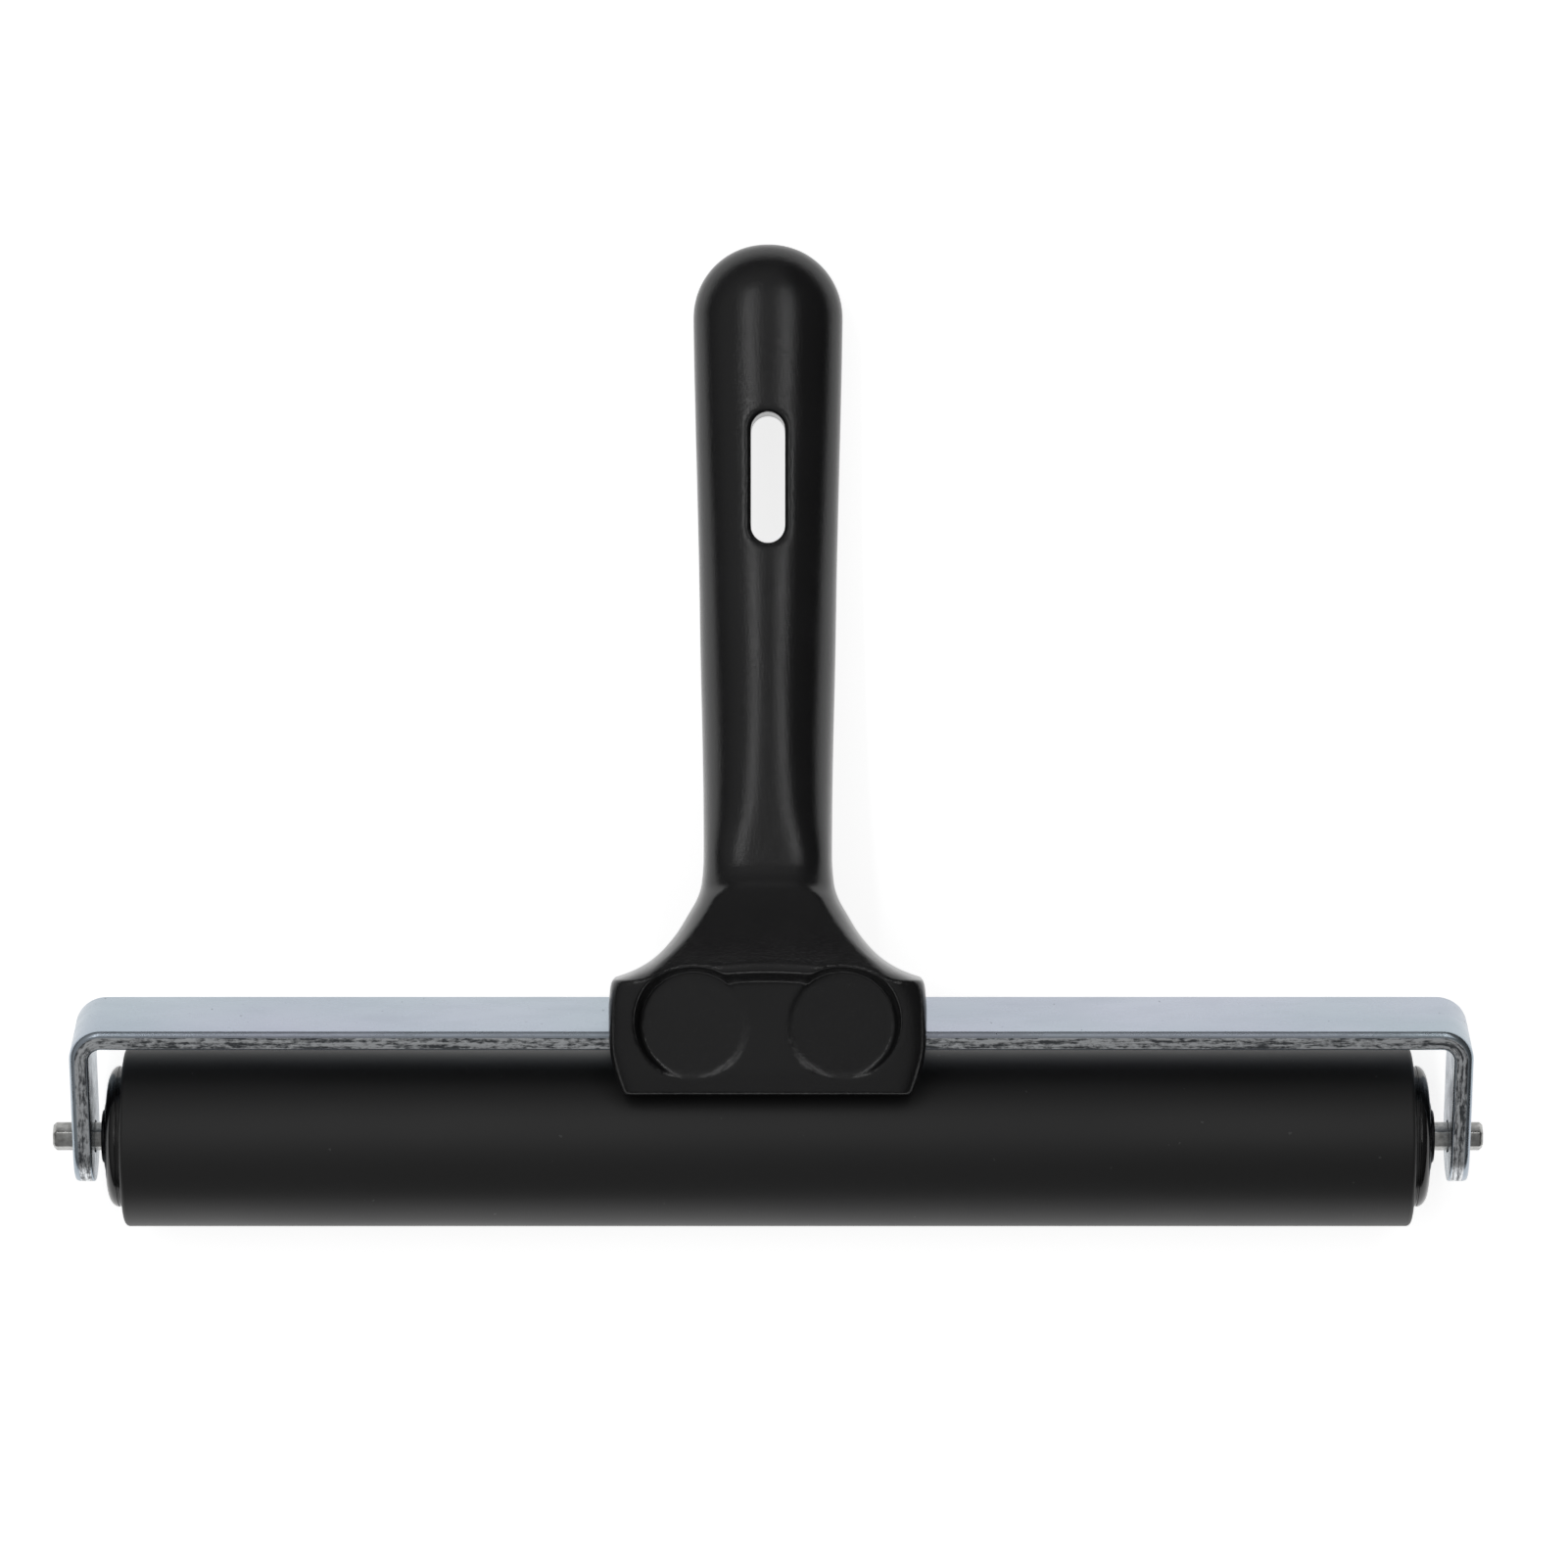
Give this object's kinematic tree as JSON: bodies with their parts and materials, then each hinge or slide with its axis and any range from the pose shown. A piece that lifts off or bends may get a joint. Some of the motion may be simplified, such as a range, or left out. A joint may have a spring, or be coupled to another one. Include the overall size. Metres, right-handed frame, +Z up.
{
  "type": "rubber brayer",
  "caption": "Rubber brayer: a smooth rubber roller on ball bearings in a bent flat-steel yoke, with a moulded handle that has a hanging slot.",
  "frame": {"origin": "centre of the bounding box in plan, on the surface that the roller and the end of the handle rest on", "axes": "+X along the roller's axis, +Y from the roller towards the end of the handle, +Z up"},
  "size_m": [0.2226, 0.1534, 0.0394],
  "materials": {
    "roller_rubber": "matte ground rubber",
    "handle_plastic": "satin with a fine spark-eroded grain",
    "cap_plastic": "gloss",
    "zinc_steel": "bright zinc plate with a pale blue tint",
    "axle_steel": "drawn hexagonal bar, zinc plated",
    "sleeve_steel": "blackened",
    "bearing_steel": "ground and polished",
    "cage_brass": "pressed",
    "tube_aluminium": "drawn"
  },
  "bodies": {
    "frame": {"handle": "handle_plastic", "yoke": "zinc_steel", "hex_axle": "axle_steel", "bearing_inner_left": "bearing_steel", "hex_sleeve_left": "sleeve_steel", "retaining_ring_left": "sleeve_steel", "screw_left": "zinc_steel", "bearing_inner_right": "bearing_steel", "hex_sleeve_right": "sleeve_steel", "retaining_ring_right": "sleeve_steel", "screw_right": "zinc_steel"},
    "roller": {"rubber_sleeve": "roller_rubber", "core_tube": "tube_aluminium", "end_cap_left": "cap_plastic", "bearing_outer_left": "bearing_steel", "end_cap_right": "cap_plastic", "bearing_outer_right": "bearing_steel"},
    "cage_left": {"cage_left": "cage_brass", "ball_left_1": "bearing_steel", "ball_left_2": "bearing_steel", "ball_left_3": "bearing_steel", "ball_left_4": "bearing_steel", "ball_left_5": "bearing_steel", "ball_left_6": "bearing_steel", "ball_left_7": "bearing_steel", "ball_left_8": "bearing_steel"},
    "cage_right": {"cage_right": "cage_brass", "ball_right_1": "bearing_steel", "ball_right_2": "bearing_steel", "ball_right_3": "bearing_steel", "ball_right_4": "bearing_steel", "ball_right_5": "bearing_steel", "ball_right_6": "bearing_steel", "ball_right_7": "bearing_steel", "ball_right_8": "bearing_steel"}
  },
  "joints": [
    {"name": "roller_spin", "type": "hinge", "parent": "frame", "child": "roller", "pos_m": [0, -0.06275, 0.014], "axis": [1, 0, 0], "continuous": true},
    {"name": "cage_left_spin", "type": "hinge", "parent": "frame", "child": "cage_left", "pos_m": [0, -0.06275, 0.014], "axis": [1, 0, 0], "continuous": true},
    {"name": "cage_right_spin", "type": "hinge", "parent": "frame", "child": "cage_right", "pos_m": [0, -0.06275, 0.014], "axis": [1, 0, 0], "continuous": true}
  ],
  "couplings": [
    {"joint": "cage_left_spin", "follows": "roller_spin", "ratio": 0.5952},
    {"joint": "cage_right_spin", "follows": "roller_spin", "ratio": 0.5952}
  ]
}
